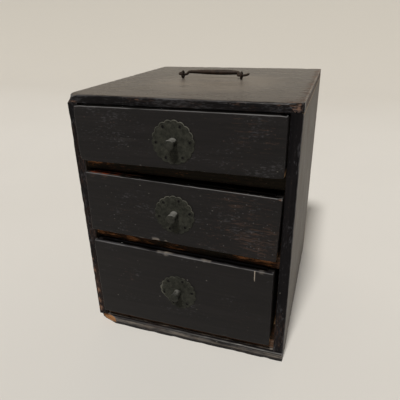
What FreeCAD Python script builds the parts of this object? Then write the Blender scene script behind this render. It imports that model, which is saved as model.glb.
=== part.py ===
import FreeCAD, Part
import math
import os

import Sketcher
from FreeCAD import Placement, Rotation, Vector

# Small chest of three drawers with a carrying handle on top.
# Frame: origin at the middle of the case footprint on the floor, front towards -Y, +Z up, millimetres.

doc = FreeCAD.newDocument("DrawerChest")
sheet = doc.addObject("Spreadsheet::Sheet", "Sizes")

SIZES = {
    # case
    "case_width": 220,
    "case_depth": 240,
    "case_height": 270,
    "top_thick": 8,
    "base_thick": 10,
    "base_nose": 2,
    "base_rounding": 3,
    "side_thick": 10.5,
    "back_thick": 8,
    "upper_rail_thick": 11.6,
    "upper_rail_taper": 2.8,
    "lower_rail_thick": 12.6,
    "base_rail_thick": 11.2,
    "lower_slope": 0.0314,
    "rail_depth": 26,
    "rail_setback": 4,
    "runner_width": 14,
    "worn_arris": 2,
    "worn_corner": 4.4,
    "worn_corner_foot": 0.4,
    "chip_length": 14,
    "chip_depth": 6,
    "chip_slant": 8,
    "shaver_size": 40,
    "break_length": 21,
    "break_depth": 7,
    # drawers
    "drawer_lift": 0.3,
    "head_gap": 0.5,
    "stop_gap": 0.4,
    "bottom_front_height": 92.4,
    "middle_front_height": 65,
    "top_front_height": 53.5,
    "bottom_front_width": 194,
    "middle_front_width": 195.8,
    "top_front_width": 197.4,
    "bottom_front_shift": -1.5,
    "middle_front_shift": -1.1,
    "top_front_shift": 0.1,
    "bottom_proud": 6,
    "middle_proud": 6,
    "top_proud": 8,
    "front_thick": 10.5,
    "front_lip": 5.5,
    "front_arris": 0.8,
    "wall_thick": 7,
    "floor_thick": 5,
    "wall_drop": 2.5,
    "rear_drop": 6,
    # pegs
    "peg_radius": 1.5,
    "peg_length": 20,
    "peg_cover": 2,
    "runner_peg_bite": 5,
    "small_peg_radius": 1.1,
    "small_peg_length": 12,
    "small_peg_cover": 1.5,
    # pulls
    "bottom_pull_across": -3.3,
    "middle_pull_across": -3.6,
    "top_pull_across": 0.5,
    "bottom_pull_up": 46.9,
    "middle_pull_up": 33,
    "top_pull_up": 25.3,
    "bottom_plate_turn": 8,
    "middle_plate_turn": 13,
    "top_plate_turn": 3,
    "plate_radius": 20.7,
    "plate_thick": 1,
    "scallop_count": 18,
    "scallop_radius": 3.9,
    "pierce_count": 6,
    "pierce_ring": 16.2,
    "pierce_radius": 1.1,
    "shank_radius": 2,
    "knob_length": 10.5,
    "knob_foot_radius": 4.4,
    "knob_neck_radius": 4.2,
    "knob_neck_out": 3,
    "knob_head_radius": 4.9,
    "knob_head_out": 9.2,
    "knob_face_radius": 4.3,
    "knob_dome": 0.6,
    "clinch_length": 22,
    "clinch_width": 3,
    "clinch_thick": 1.1,
    # carrying handle
    "handle_across": -4,
    "handle_back": 5,
    "staple_span": 69,
    "eye_height": 4.2,
    "eye_radius": 3.1,
    "eye_wire": 1.1,
    "leg_radius": 1.5,
    "bail_wire": 1.4,
    "bail_bend": 3,
    "bail_drop": 8,
    "bail_shoulder": 4.5,
    "bail_left_run": 1,
    "bail_right_run": 0.5,
    "bail_left_curl": 3,
    "bail_right_curl": 10,
    "bail_left_turn": 115,
    "bail_right_turn": 60,
    "bail_bar_left": 1.8,
    "bail_bar_middle": 3,
    "bail_bar_right": 2.3,
    "bail_bar_neck": 2,
    "bail_rest_turn": 15,
}
for row, (alias, value) in enumerate(SIZES.items(), start=1):
    sheet.set(f"A{row}", alias)
    sheet.set(f"B{row}", str(value))
    sheet.setAlias(f"B{row}", alias)
doc.recompute()


class Size:
    """A value together with the spreadsheet formula that gives it."""

    def __init__(self, value, text):
        self.value = value
        self.text = text

    def __add__(self, other):
        other = as_size(other)
        return Size(self.value + other.value, f"({self.text} + {other.text})")

    def __sub__(self, other):
        other = as_size(other)
        return Size(self.value - other.value, f"({self.text} - {other.text})")

    def __mul__(self, factor):
        factor = as_size(factor)
        return Size(self.value * factor.value, f"({self.text} * {factor.text})")

    def __truediv__(self, divisor):
        return Size(self.value / divisor, f"({self.text} / {divisor})")

    def __neg__(self):
        return Size(-self.value, f"(-{self.text})")


def as_size(number):
    return number if isinstance(number, Size) else Size(number, f"({number})")


def cell(alias):
    return Size(float(sheet.get(alias)), f"Sizes.{alias}")


def bind(obj, prop, size):
    obj.setExpression(prop, as_size(size).text)


def place(obj, x, y, z):
    for axis, size in zip("xyz", (x, y, z)):
        bind(obj, f"Placement.Base.{axis}", size)


# Plain boards, pegs and drilling

def box(label, corner, extent):
    blank = doc.addObject("Part::Box", label)
    blank.Label = label
    for prop, size in zip(("Length", "Width", "Height"), extent):
        bind(blank, prop, size)
    place(blank, *corner)
    return blank


def peg(label, start, along, radius, length):
    rod = doc.addObject("Part::Cylinder", label)
    if along == "x":
        rod.Placement = Placement(Vector(), Rotation(Vector(0, 1, 0), 90))
    if along == "y":
        rod.Placement = Placement(Vector(), Rotation(Vector(1, 0, 0), -90))
    bind(rod, "Radius", radius)
    bind(rod, "Height", length)
    place(rod, *start)
    return rod


def group(label, members):
    bundle = doc.addObject("Part::Compound", label)
    bundle.Label = label
    bundle.Links = members
    return bundle


def cut(label, blank, *tools):
    result = doc.addObject("Part::Cut", label)
    result.Label = label
    result.Base = blank
    result.Tool = tools[0] if len(tools) == 1 else group(f"{label}_tools", list(tools))
    return result


def fuse(label, *members):
    result = doc.addObject("Part::MultiFuse", label)
    result.Label = label
    result.Shapes = list(members)
    return result


# Sketched bodies

def new_body(label):
    body = doc.addObject("PartDesign::Body", label)
    body.Label = label
    return body


def sketch_on(body, role, name):
    plane = next(item for item in body.Origin.OriginFeatures if item.Role == role)
    sketch = body.newObject("Sketcher::SketchObject", name)
    sketch.AttachmentSupport = (plane, "")
    sketch.MapMode = "FlatFace"
    return sketch


def fix_point(sketch, geometry, point, x, y):
    for kind, axis, size in (("DistanceX", -2, as_size(x)), ("DistanceY", -1, as_size(y))):
        if abs(size.value) < 1e-9:
            sketch.addConstraint(Sketcher.Constraint("PointOnObject", geometry, point, axis))
        else:
            index = sketch.addConstraint(Sketcher.Constraint(kind, -1, 1, geometry, point, size.value))
            bind(sketch, f"Constraints[{index}]", size)


def polygon(sketch, corners):
    spots = [Vector(as_size(x).value, as_size(y).value, 0) for x, y in corners]
    count = len(corners)
    for i, spot in enumerate(spots):
        sketch.addGeometry(Part.LineSegment(spot, spots[(i + 1) % count]), False)
    for i, (x, y) in enumerate(corners):
        sketch.addConstraint(Sketcher.Constraint("Coincident", (i - 1) % count, 2, i, 1))
        fix_point(sketch, i, 1, x, y)


def rectangle(sketch, low, high):
    polygon(sketch, [low, (high[0], low[1]), high, (low[0], high[1])])


def circle(sketch, x, y, radius):
    centre = Vector(as_size(x).value, as_size(y).value, 0)
    index = sketch.addGeometry(Part.Circle(centre, Vector(0, 0, 1), radius.value), False)
    fix_point(sketch, index, 3, x, y)
    limit = sketch.addConstraint(Sketcher.Constraint("Radius", index, radius.value))
    bind(sketch, f"Constraints[{limit}]", radius)


def pad(body, sketch, length, reverse=False, name="Pad"):
    feature = body.newObject("PartDesign::Pad", f"{body.Label}_{name}")
    feature.Profile = sketch
    feature.Reversed = reverse
    bind(feature, "Length", length)
    return feature


def pocket_through(body, sketch, name):
    feature = body.newObject("PartDesign::Pocket", f"{body.Label}_{name}")
    feature.Profile = sketch
    feature.Type = "ThroughAll"
    feature.Midplane = True
    return feature


def polar(body, feature, sketch, count, name):
    pattern = body.newObject("PartDesign::PolarPattern", f"{body.Label}_{name}")
    pattern.Originals = [feature]
    pattern.Axis = (sketch, ["N_Axis"])
    pattern.Angle = 360
    bind(pattern, "Occurrences", count)
    body.Tip = pattern
    return pattern


def round_edges(body, base, radius, name, wanted):
    doc.recompute()
    names = [f"Edge{i}" for i, edge in enumerate(base.Shape.Edges, start=1) if wanted(edge.BoundBox)]
    feature = body.newObject("PartDesign::Fillet", f"{body.Label}_{name}")
    feature.Base = (base, names)
    bind(feature, "Radius", radius)
    return feature


def near(value, target):
    return abs(value - target) < 1e-4


# Heights and faces that the pieces share

half_width = cell("case_width") / 2
half_depth = cell("case_depth") / 2
inner_x = half_width - cell("side_thick")
back_y = half_depth - cell("back_thick")
roof_z = cell("case_height") - cell("top_thick")

bottom_z = cell("base_thick") + cell("base_rail_thick") + cell("drawer_lift")
lower_rail_z = bottom_z + cell("bottom_front_height") + cell("head_gap")
middle_z = lower_rail_z + cell("lower_rail_thick") + cell("drawer_lift")
top_z = roof_z - cell("head_gap") - cell("top_front_height")
upper_rail_top = top_z - cell("drawer_lift")


def lower_level(z, x):
    # the lower rail and all that rests on it fall from left to right
    return z - x * cell("lower_slope")


rail_front_y = -half_depth + cell("rail_setback")
rail_back_y = rail_front_y + cell("rail_depth")
handle_x = cell("handle_across")
handle_y = cell("handle_back")
pivot_z = cell("case_height") + cell("eye_height")
eye_xs = {
    "left": handle_x - cell("staple_span") / 2,
    "right": handle_x + cell("staple_span") / 2,
}
parts = []


# Under and upper edge of each level between the drawers, at a given x

def upper_edges(x):
    low = upper_rail_top - cell("upper_rail_thick")
    return low - (x + inner_x) / (inner_x.value * 2) * cell("upper_rail_taper"), upper_rail_top


def lower_edges(x):
    return lower_level(lower_rail_z, x), lower_level(lower_rail_z + cell("lower_rail_thick"), x)


def base_edges(x):
    return cell("base_thick"), cell("base_thick") + cell("base_rail_thick")


LEVELS = {"upper": upper_edges, "lower": lower_edges, "base": base_edges}
HANDS = {"left": -1, "right": 1}


def level_middle(level, x):
    low, high = LEVELS[level](x)
    return (low + high) / 2


# Blind pegs of the case, at shares of its half depth or height

UPRIGHT_PEG_SHARES = (-0.76, 0, 0.76)
BACK_PEG_SHARES = (0.17, 0.5, 0.83)
RUNNER_PEG_SHARES = (-0.4, 0.5)


def across_peg(label, sign, outer_x, y, z, radius, length):
    # outer_x is the end nearer to the outside of the case, on the side that sign gives
    start = outer_x if sign < 0 else outer_x - length
    return peg(label, (start, y, z), "x", radius, length)


def side_peg(label, sign, y, z):
    outer_x = (half_width - cell("peg_cover")) * sign
    return across_peg(label, sign, outer_x, y, z, cell("peg_radius"), cell("peg_length"))


def upright_pegs(label, start_z):
    rods = []
    for hand, sign in HANDS.items():
        x = (half_width - cell("side_thick") / 2) * sign
        for i, share in enumerate(UPRIGHT_PEG_SHARES):
            spot = (x, half_depth * share, start_z)
            rods.append(peg(f"{label}_{hand}_{i}", spot, "z", cell("peg_radius"), cell("peg_length")))
    return group(label, rods)


top_pegs = upright_pegs("top_pegs", cell("case_height") - cell("peg_cover") - cell("peg_length"))
base_pegs = upright_pegs("base_pegs", cell("peg_cover"))

back_rods = []
rail_rods = []
runner_rods = []
back_peg_y = half_depth - cell("back_thick") / 2
rail_peg_y = rail_front_y + cell("rail_depth") / 2
runner_peg_length = cell("runner_width") + cell("runner_peg_bite") - cell("small_peg_cover")
for hand, sign in HANDS.items():
    for i, share in enumerate(BACK_PEG_SHARES):
        back_rods.append(side_peg(f"back_peg_{hand}_{i}", sign, back_peg_y, cell("case_height") * share))
    for level in LEVELS:
        peg_z = level_middle(level, inner_x * sign)
        rail_rods.append(side_peg(f"rail_peg_{hand}_{level}", sign, rail_peg_y, peg_z))
        runner_z = level_middle(level, (inner_x - cell("runner_width") / 2) * sign)
        outer_x = (inner_x + cell("runner_peg_bite")) * sign
        for i, share in enumerate(RUNNER_PEG_SHARES):
            name = f"runner_peg_{level}_{hand}_{i}"
            y = half_depth * share
            rod = across_peg(name, sign, outer_x, y, runner_z, cell("small_peg_radius"), runner_peg_length)
            runner_rods.append(rod)
back_pegs = group("back_pegs", back_rods)
rail_pegs = group("rail_pegs", rail_rods)
runner_pegs = group("runner_pegs", runner_rods)
parts += [top_pegs, base_pegs, back_pegs, rail_pegs, runner_pegs]


# Staples that hold the handle: an eye, a shank through the top board and two legs clinched under it

shanks = []
for hand, eye_x in eye_xs.items():
    ring = doc.addObject("Part::Torus", f"{hand}_eye")
    ring.Placement = Placement(Vector(), Rotation(Vector(0, 1, 0), 90))
    bind(ring, "Radius1", cell("eye_radius"))
    bind(ring, "Radius2", cell("eye_wire"))
    place(ring, eye_x, handle_y, pivot_z)
    shank_bottom = roof_z - cell("clinch_thick")
    shank_length = cell("case_height") + cell("eye_wire") - shank_bottom
    shank = peg(f"{hand}_shank", (eye_x, handle_y, shank_bottom), "z", cell("leg_radius"), shank_length)
    corner = (eye_x - cell("clinch_width") / 2, handle_y - cell("clinch_length") / 2, shank_bottom)
    legs = box(f"{hand}_legs", corner, (cell("clinch_width"), cell("clinch_length"), cell("clinch_thick")))
    parts.append(fuse(f"{hand}_handle_staple", ring, shank, legs))
    shanks.append(shank)


# Top board: worn front arris, one worn corner, one chipped corner

def shaver(label, spot, out):
    # a block whose flat underside takes off all that lies beyond spot in the direction out
    block = doc.addObject("Part::Box", label)
    tilt = Rotation(Vector(0, 0, 1), Vector(*[size.value for size in out]))
    block.Placement = Placement(Vector(), tilt)
    for prop in ("Length", "Width", "Height"):
        bind(block, prop, cell("shaver_size"))
    shift = tilt.multVec(Vector(-0.5, -0.5, 0))
    place(block, *[size + cell("shaver_size") * round(share, 6) for size, share in zip(spot, shift)])
    return block


top_blank = new_body("top_board_blank")
place(top_blank, 0, 0, roof_z)
outline = sketch_on(top_blank, "XY_Plane", "top_outline")
rectangle(outline, (-half_width, -half_depth), (half_width, half_depth))
slab = pad(top_blank, outline, cell("top_thick"))
round_edges(
    top_blank, slab, cell("worn_arris"), "arris",
    lambda b: near(b.ZMin, cell("top_thick").value) and near(b.YMax, -half_depth.value))
thick = cell("top_thick")
corner_foot = (-half_width + cell("worn_corner_foot"), -half_depth, roof_z)
worn_off = shaver("worn_off", corner_foot, (-thick, -thick, cell("worn_corner") - cell("worn_corner_foot")))
chip_start = (half_width - cell("chip_length"), -half_depth, cell("case_height"))
chip_out = (cell("chip_depth") * thick, -cell("chip_length") * thick, cell("chip_depth") * cell("chip_slant"))
chipped_off = shaver("chipped_off", chip_start, chip_out)
parts.append(cut("top_board", top_blank, top_pegs, *shanks, worn_off, chipped_off))


# Base board: rounded nose in front, one corner broken off

base_blank = new_body("base_board_blank")
outline = sketch_on(base_blank, "XY_Plane", "base_outline")
nose_y = -half_depth - cell("base_nose")
polygon(outline, [
    (-half_width + cell("break_length"), nose_y),
    (half_width, nose_y),
    (half_width, half_depth),
    (-half_width, half_depth),
    (-half_width, nose_y + cell("break_depth")),
])
slab = pad(base_blank, outline, cell("base_thick"))
round_edges(
    base_blank, slab, cell("base_rounding"), "nose",
    lambda b: near(b.YMax, nose_y.value) and near(b.ZMin, cell("base_thick").value))
parts.append(cut("base_board", base_blank, base_pegs))


# Sides, back, rails and runners

side_height = roof_z - cell("base_thick")
for hand, x in (("left", -half_width), ("right", inner_x)):
    corner = (x, -half_depth, cell("base_thick"))
    blank = box(f"{hand}_side_blank", corner, (cell("side_thick"), cell("case_depth"), side_height))
    parts.append(cut(f"{hand}_side", blank, top_pegs, base_pegs, back_pegs, rail_pegs, runner_pegs))

corner = (-inner_x, back_y, cell("base_thick"))
blank = box("back_panel_blank", corner, (inner_x * 2, cell("back_thick"), side_height))
parts.append(cut("back_panel", blank, back_pegs))


def level_bar(label, edges, x0, x1, y, depth):
    body = new_body(f"{label}_blank")
    place(body, 0, y, 0)
    section = sketch_on(body, "XZ_Plane", f"{label}_section")
    (low0, high0), (low1, high1) = edges(x0), edges(x1)
    polygon(section, [(x0, low0), (x1, low1), (x1, high1), (x0, high0)])
    pad(body, section, depth, reverse=True)
    return body


for level, edges in LEVELS.items():
    blank = level_bar(f"{level}_rail", edges, -inner_x, inner_x, rail_front_y, cell("rail_depth"))
    parts.append(cut(f"{level}_rail", blank, rail_pegs))
    runs = {
        "left": (-inner_x, -inner_x + cell("runner_width")),
        "right": (inner_x - cell("runner_width"), inner_x),
    }
    for hand, (x0, x1) in runs.items():
        label = f"{level}_{hand}_runner"
        blank = level_bar(label, edges, x0, x1, rail_back_y, back_y - rail_back_y)
        parts.append(cut(label, blank, runner_pegs))


# Pull plate: a thin disc with a scalloped rim, pierced near the rim

def pull_plate(label, x, y, z, turn):
    body = new_body(label)
    body.Placement = Placement(Vector(), Rotation(Vector(0, -1, 0), turn.value))
    disc = sketch_on(body, "XZ_Plane", f"{label}_disc")
    circle(disc, 0, 0, cell("plate_radius") - cell("scallop_radius") / 2)
    pad(body, disc, cell("plate_thick"))
    lobe = sketch_on(body, "XZ_Plane", f"{label}_lobe")
    circle(lobe, cell("plate_radius") - cell("scallop_radius"), 0, cell("scallop_radius"))
    lobe_pad = pad(body, lobe, cell("plate_thick"), name="lobe_pad")
    polar(body, lobe_pad, disc, cell("scallop_count"), "rim")
    hole = sketch_on(body, "XZ_Plane", f"{label}_hole")
    circle(hole, cell("pierce_ring"), 0, cell("pierce_radius"))
    hole_cut = pocket_through(body, hole, "hole_cut")
    polar(body, hole_cut, disc, cell("pierce_count"), "holes")
    eye = sketch_on(body, "XZ_Plane", f"{label}_eye")
    circle(eye, 0, 0, cell("shank_radius"))
    pocket_through(body, eye, "eye_cut")
    place(body, x, y, z)
    return body


# Knob: a flared post turned in one piece with its shank, legs clinched behind the drawer front

def pull_knob(label, x, y, z):
    body = new_body(label)
    foot_y = -cell("plate_thick")
    profile = sketch_on(body, "XY_Plane", f"{label}_profile")
    polygon(profile, [
        (0, cell("front_thick") + cell("clinch_thick")),
        (cell("shank_radius"), cell("front_thick") + cell("clinch_thick")),
        (cell("shank_radius"), foot_y),
        (cell("knob_foot_radius"), foot_y),
        (cell("knob_neck_radius"), foot_y - cell("knob_neck_out")),
        (cell("knob_head_radius"), foot_y - cell("knob_head_out")),
        (cell("knob_face_radius"), foot_y - cell("knob_length") + cell("knob_dome")),
        (0, foot_y - cell("knob_length")),
    ])
    post = body.newObject("PartDesign::Revolution", f"{label}_post")
    post.Profile = profile
    post.ReferenceAxis = (profile, ["V_Axis"])
    post.Angle = 360
    legs = sketch_on(body, "XZ_Plane", f"{label}_legs")
    legs.AttachmentOffset = Placement(Vector(0, 0, -cell("front_thick").value), Rotation())
    bind(legs, "AttachmentOffset.Base.z", -cell("front_thick"))
    reach = cell("clinch_length") / 2
    rise = cell("clinch_width") / 2
    rectangle(legs, (-reach, -rise), (reach, rise))
    pad(body, legs, cell("clinch_thick"), reverse=True)
    place(body, x, y, z)
    return body


# Drawer: front with rebates for its sides and bottom, box behind it, plate and knob

WALL_PEG_SHARES = (0.3, 0.7)
FLOOR_PEG_SHARES = (0.15, 0.5, 0.85)


def drawer(name, low_z, rim_slope):
    width = cell(f"{name}_front_width")
    height = cell(f"{name}_front_height")
    centre_x = cell(f"{name}_front_shift")
    front_y = -half_depth - cell(f"{name}_proud")
    wall_y = front_y + cell("front_lip")
    rear_y = back_y - cell("stop_gap")
    wall = cell("wall_thick")
    left_x = centre_x - width / 2
    right_x = centre_x + width / 2
    floor_z = low_z + cell("floor_thick")
    pull_x = cell(f"{name}_pull_across")
    pull_z = low_z + cell(f"{name}_pull_up")

    def rim(x):
        return height - x * rim_slope

    rods = []
    small = (cell("small_peg_radius"), cell("small_peg_length"))
    cover = cell("small_peg_cover")
    tongue_y = front_y + (cell("front_lip") + cell("front_thick")) / 2
    sides = {"left": (-1, left_x), "right": (1, right_x)}
    for hand, (sign, outer_x) in sides.items():
        for end, y in (("front", tongue_y), ("rear", rear_y - wall / 2)):
            for i, share in enumerate(WALL_PEG_SHARES):
                label = f"{name}_{end}_{hand}_peg_{i}"
                peg_z = low_z + height * share
                rods.append(across_peg(label, sign, outer_x - cover * sign, y, peg_z, *small))
        for i, share in enumerate(FLOOR_PEG_SHARES):
            spot = (outer_x - wall / 2 * sign, wall_y + (rear_y - wall_y) * share, low_z + cover)
            rods.append(peg(f"{name}_floor_{hand}_peg_{i}", spot, "z", *small))
    pegs = group(f"{name}_peg_set", rods)

    front_blank = new_body(f"{name}_front_blank")
    place(front_blank, 0, front_y, low_z)
    face = sketch_on(front_blank, "XZ_Plane", f"{name}_front_face")
    polygon(face, [(left_x, 0), (right_x, 0), (right_x, rim(right_x)), (left_x, rim(left_x))])
    pad(front_blank, face, cell("front_lip"), reverse=True)
    inner = sketch_on(front_blank, "XZ_Plane", f"{name}_front_inner")
    x0, x1 = left_x + wall, right_x - wall
    polygon(inner, [(x0, cell("floor_thick")), (x1, cell("floor_thick")), (x1, rim(x1)), (x0, rim(x0))])
    board = pad(front_blank, inner, cell("front_thick"), reverse=True, name="inner_pad")
    round_edges(
        front_blank, board, cell("front_arris"), "arris",
        lambda b: near(b.YMin, 0) and near(b.YMax, 0))
    bore_start = (pull_x, front_y, pull_z)
    bore = peg(f"{name}_shank_bore", bore_start, "y", cell("shank_radius"), cell("front_thick"))

    wall_length = rear_y - wall_y
    above_floor = cell("floor_thick") + cell("wall_drop")
    left_extent = (wall, wall_length, rim(x0) - above_floor)
    left_blank = box(f"{name}_left_blank", (left_x, wall_y, floor_z), left_extent)
    right_extent = (wall, wall_length, rim(right_x) - above_floor)
    right_blank = box(f"{name}_right_blank", (x1, wall_y, floor_z), right_extent)
    rear_extent = (x1 - x0, wall, rim(right_x) - cell("floor_thick") - cell("rear_drop"))
    rear_blank = box(f"{name}_rear_blank", (x0, rear_y - wall, floor_z), rear_extent)
    floor_extent = (width, wall_length, cell("floor_thick"))
    floor_blank = box(f"{name}_floor_blank", (left_x, wall_y, low_z), floor_extent)
    turn = cell(f"{name}_plate_turn")
    return {
        f"{name}_drawer_front": cut(f"{name}_front_bored", front_blank, pegs, bore),
        f"{name}_drawer_left_side": cut(f"{name}_left_bored", left_blank, pegs),
        f"{name}_drawer_right_side": cut(f"{name}_right_bored", right_blank, pegs),
        f"{name}_drawer_back": cut(f"{name}_rear_bored", rear_blank, pegs),
        f"{name}_drawer_bottom": cut(f"{name}_floor_bored", floor_blank, pegs),
        f"{name}_drawer_pegs": pegs,
        f"{name}_pull_plate": pull_plate(f"{name}_plate", pull_x, front_y, pull_z, turn),
        f"{name}_pull_knob": pull_knob(f"{name}_knob", pull_x, front_y, pull_z),
    }


def set_down(label, piece, turn_z, slope):
    # a drawer piece as it stands in the case: turned about a line along Y at x = 0, z = turn_z
    stood = group(label, [piece])
    stood.Placement = Placement(Vector(), Rotation(Vector(0, 1, 0), 1))
    angle = f"atan({slope.text})"
    stood.setExpression("Placement.Rotation.Angle", angle)
    stood.setExpression("Placement.Base.x", f"-{turn_z.text} * sin({angle})")
    stood.setExpression("Placement.Base.z", f"{turn_z.text} * (1 - cos({angle}))")
    return stood


level = as_size(0)
slope = cell("lower_slope")
for name, low_z, rim_slope, stand_slope in (
        ("top", top_z, level, level),
        ("middle", middle_z, level, slope),
        ("bottom", bottom_z, slope, level)):
    for label, piece in drawer(name, low_z, rim_slope).items():
        parts.append(set_down(label, piece, low_z, stand_slope))


# Carrying handle: a low bail, drawn upright about its pivot line and then laid back to its resting turn

def bail_half(hand):
    half = cell("staple_span").value / 2
    bend = cell("bail_bend").value
    drop = cell("bail_drop").value
    shoulder = half - cell("bail_shoulder").value
    run = half + cell(f"bail_{hand}_run").value
    curl = cell(f"bail_{hand}_curl").value
    turn = math.radians(cell(f"bail_{hand}_turn").value)

    def arc(centre_x, centre_z, radius, start, end):
        middle = (start + end) / 2
        spots = [
            Vector(centre_x + radius * math.cos(a), 0, centre_z + radius * math.sin(a))
            for a in (start, middle, end)
        ]
        return Part.Arc(*spots).toShape()

    def run_between(x0, z0, x1, z1):
        return Part.LineSegment(Vector(x0, 0, z0), Vector(x1, 0, z1)).toShape()

    down = -math.pi / 2
    quarter = math.pi / 2
    path = [
        run_between(0, drop, shoulder - bend, drop),
        arc(shoulder - bend, drop - bend, bend, quarter, 0),
        run_between(shoulder, drop - bend, shoulder, bend),
        arc(shoulder + bend, bend, bend, math.pi, math.pi + quarter),
        run_between(shoulder + bend, 0, run, 0),
        arc(run, curl, curl, down, down + turn),
    ]
    mirror = FreeCAD.Matrix()
    mirror.scale(HANDS[hand], 1, 1)
    return [edge.transformGeometry(mirror) for edge in path]


def bail(label):
    wire_radius = cell("bail_wire").value
    neck = cell("bail_bar_neck").value
    middle_radius = cell("bail_bar_middle").value
    drop = cell("bail_drop").value
    bar_half = cell("staple_span").value / 2 - cell("bail_shoulder").value - cell("bail_bend").value
    halves = [bail_half(hand) for hand in HANDS]
    section = Part.Wire(Part.makeCircle(wire_radius, Vector(0, 0, drop), Vector(1, 0, 0)))
    ends = [Part.Wire(half).makePipeShell([section], True, True, 1) for half in halves]
    shoulders = []
    for hand, sign in HANDS.items():
        end_radius = cell(f"bail_bar_{hand}").value
        along = Vector(sign, 0, 0)
        neck_start = Vector(sign * (bar_half - neck), 0, drop)
        shoulders.append(Part.makeCone(middle_radius, end_radius, bar_half - neck, Vector(0, 0, drop), along))
        shoulders.append(Part.makeCone(end_radius, wire_radius, neck, neck_start, along))
    tips = []
    for half in halves:
        tip = half[-1].Vertexes[-1].Point
        tips.append(Part.makeSphere(wire_radius, tip))
    shape = ends[0].multiFuse([ends[1], *shoulders, *tips]).removeSplitter()
    handle = doc.addObject("Part::Feature", label)
    handle.Label = label
    handle.Shape = shape.Solids[0]
    lean = 90 - cell("bail_rest_turn").value
    centre = Vector(handle_x.value, handle_y.value, pivot_z.value)
    handle.Placement = Placement(centre, Rotation(Vector(1, 0, 0), -lean))
    return handle


parts.append(bail("carry_handle"))

# Check every piece, then write it

doc.recompute()
faults = [obj.Name for obj in doc.Objects if "Invalid" in obj.State or "Error" in obj.State]
for piece in parts:
    if piece.Shape.isNull() or not piece.Shape.isValid() or not piece.Shape.Solids:
        faults.append(piece.Label)
if faults:
    raise RuntimeError(f"failed pieces: {faults}")

os.makedirs("parts", exist_ok=True)
for piece in parts:
    piece.Shape.exportStep(f"parts/{piece.Label}.step")
    print(f"{piece.Label}: {len(piece.Shape.Solids)} solid(s), {piece.Shape.Volume / 1000:.2f} cm3")
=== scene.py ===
import math

import bmesh
import bpy
from mathutils import Matrix, Vector, noise


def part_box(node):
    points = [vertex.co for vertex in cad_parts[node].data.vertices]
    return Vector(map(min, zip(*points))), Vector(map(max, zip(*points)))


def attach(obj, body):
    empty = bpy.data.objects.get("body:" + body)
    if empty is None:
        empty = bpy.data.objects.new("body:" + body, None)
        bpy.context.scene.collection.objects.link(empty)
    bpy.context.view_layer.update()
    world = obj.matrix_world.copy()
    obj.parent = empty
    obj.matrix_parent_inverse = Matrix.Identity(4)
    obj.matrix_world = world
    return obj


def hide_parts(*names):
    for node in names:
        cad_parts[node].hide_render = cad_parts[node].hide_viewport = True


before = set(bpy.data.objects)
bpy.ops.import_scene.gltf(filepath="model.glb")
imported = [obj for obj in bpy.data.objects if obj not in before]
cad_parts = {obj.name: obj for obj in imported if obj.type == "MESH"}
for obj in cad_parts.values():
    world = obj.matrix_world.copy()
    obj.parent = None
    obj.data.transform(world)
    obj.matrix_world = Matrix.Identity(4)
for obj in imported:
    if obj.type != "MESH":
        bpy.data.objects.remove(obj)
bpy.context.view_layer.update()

mm = 0.001
scene = bpy.context.scene
lowerSlope = 0.0314  # fall of the lower rail and middle drawer, left to right
middlePivot = Vector((0, 0, 127.3 * mm))  # the middle drawer is turned about this line
print("frame loaded:", len(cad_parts), "nodes")


class Shade:
    # a node socket that can stand in Python expressions

    def __init__(self, tree, out=None):
        self.tree, self.out = tree, out

    def add(self, kind, settings=None, ins=None, out=0):
        node = self.tree.nodes.new("ShaderNode" + kind)
        for key, value in (settings or {}).items():
            setattr(node, key, value)
        for key, value in (ins or {}).items():
            if isinstance(value, Shade):
                self.tree.links.new(value.out, node.inputs[key])
            else:
                node.inputs[key].default_value = value
        return Shade(self.tree, node.outputs[out])

    def maths(self, operation, left, right):
        return self.add("Math", {"operation": operation}, {0: left, 1: right})

    def __add__(self, other):
        return self.maths("ADD", self, other)

    def __sub__(self, other):
        return self.maths("SUBTRACT", self, other)

    def __rsub__(self, other):
        return self.maths("SUBTRACT", other, self)

    def __mul__(self, other):
        return self.maths("MULTIPLY", self, other)

    def __pow__(self, other):
        return self.maths("POWER", self, other)

    def fade(self, low, high):
        ends = {"Value": self, "From Min": low, "From Max": high, "To Min": 0.0, "To Max": 1.0}
        return self.add("MapRange", {"interpolation_type": "SMOOTHSTEP"}, ends)

    def between(self, first, second):
        return self.add("Mix", {"data_type": "RGBA"}, {0: self, 6: first, 7: second}, out=2)

    def stretch(self, scale):
        return self.add("VectorMath", {"operation": "MULTIPLY"}, {0: self, 1: scale})

    def cloud(self, detail=2.0, rough=0.5, out=0):
        ins = {"Vector": self, "Scale": 1.0, "Detail": detail, "Roughness": rough}
        return self.add("TexNoise", None, ins, out)

    def cells(self, out=0):
        return self.add("TexVoronoi", None, {"Vector": self, "Scale": 1.0}, out)

    def part(self, index):
        return self.add("SeparateXYZ", None, {0: self}, index)


def newFinish(name):
    material = bpy.data.materials.new(name)
    material.use_nodes = True
    return material, Shade(material.node_tree)


def setShader(material, values):
    shader = material.node_tree.nodes["Principled BSDF"]
    for key, value in values.items():
        if isinstance(value, Shade):
            material.node_tree.links.new(value.out, shader.inputs[key])
        else:
            shader.inputs[key].default_value = value


def colour(red, green, blue):
    return (red, green, blue, 1.0)


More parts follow.
